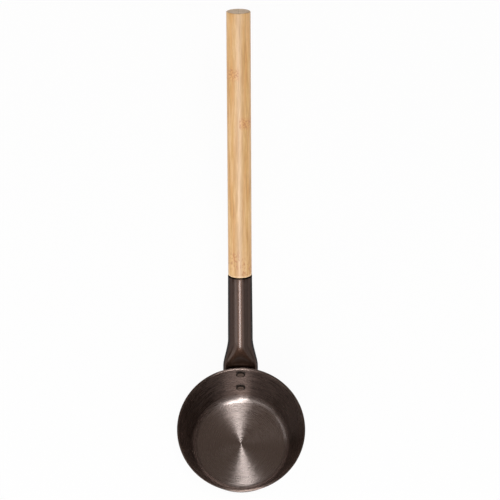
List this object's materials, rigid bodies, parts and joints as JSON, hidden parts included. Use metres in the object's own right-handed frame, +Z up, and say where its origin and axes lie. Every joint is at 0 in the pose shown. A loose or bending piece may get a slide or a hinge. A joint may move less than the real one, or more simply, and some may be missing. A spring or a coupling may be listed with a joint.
{
  "type": "sauna ladle",
  "caption": "Long-handled sauna ladle: a tapered round metal cup for throwing water, a cast neck screwed to its wall and a straight round bamboo handle that rises at an angle.",
  "frame": {"origin": "centre of the cup's flat base", "axes": "+Z up along the cup's axis, +Y towards the side that the handle rises to, the ladle symmetric about X = 0"},
  "size_m": [0.1102, 0.3653, 0.2482],
  "materials": {
    "anodised_cup": "dark bronze anodised, brushed in circles",
    "anodised_casting": "dark bronze, satin",
    "screw_steel": "dark bronze, satin",
    "seal_rubber": "matt black",
    "bamboo": "sanded and oiled",
    "stud_steel": "plain",
    "insert_brass": "plain"
  },
  "bodies": {
    "root": {"cup": "anodised_cup", "neck": "anodised_casting", "upper_screw": "screw_steel", "lower_screw": "screw_steel", "upper_seal": "seal_rubber", "lower_seal": "seal_rubber", "handle_strip_left": "bamboo", "handle_strip_right": "bamboo", "handle_stud": "stud_steel", "handle_insert": "insert_brass"}
  },
  "joints": []
}
